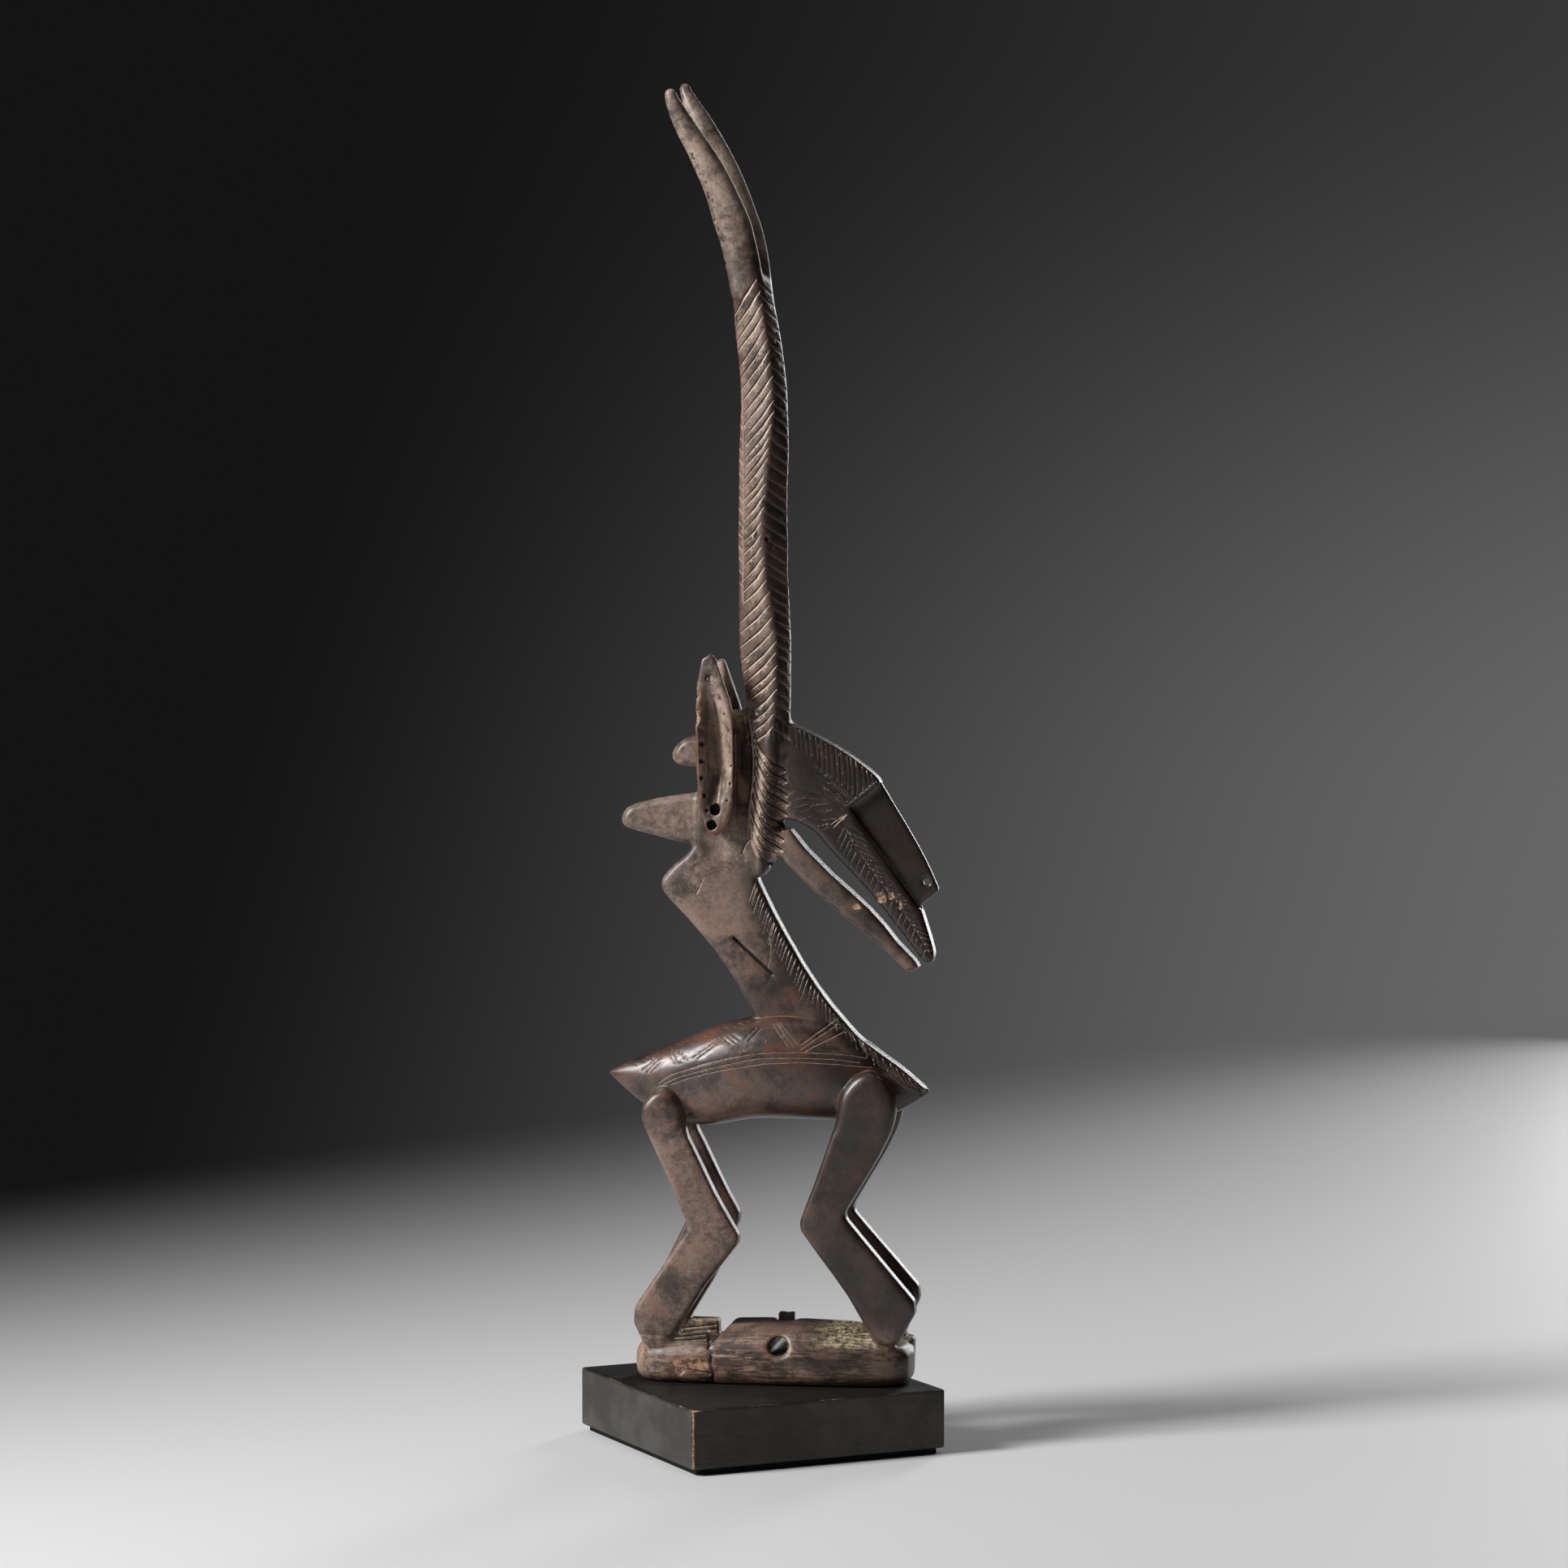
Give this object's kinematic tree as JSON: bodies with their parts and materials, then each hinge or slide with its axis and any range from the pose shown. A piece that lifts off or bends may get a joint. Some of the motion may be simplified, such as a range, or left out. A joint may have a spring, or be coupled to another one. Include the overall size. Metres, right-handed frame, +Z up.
{
  "type": "chiwara headdress",
  "caption": "Carved wooden antelope crest with tall fused horns, upright ears, open jaws and bent legs, standing on a square black plinth.",
  "frame": {"origin": "middle of the plinth pad's underside, on the surface that the plinth stands on", "axes": "+X along the carving towards its jaws, +Y across it to its left, +Z up"},
  "size_m": [0.206, 0.206, 0.7446],
  "materials": {
    "carved_wood": "dark patinated hardwood, rubbed to a soft sheen, pale dust in the cuts",
    "plinth_paint": "matt black painted wood, worn pale at the near corner and edges",
    "felt": "thin dark felt",
    "peg_wood": "dark split wood"
  },
  "bodies": {
    "root": {"headdress": "carved_wood", "fastening_peg": "peg_wood", "plinth": "plinth_paint", "plinth_pad": "felt"}
  },
  "joints": []
}
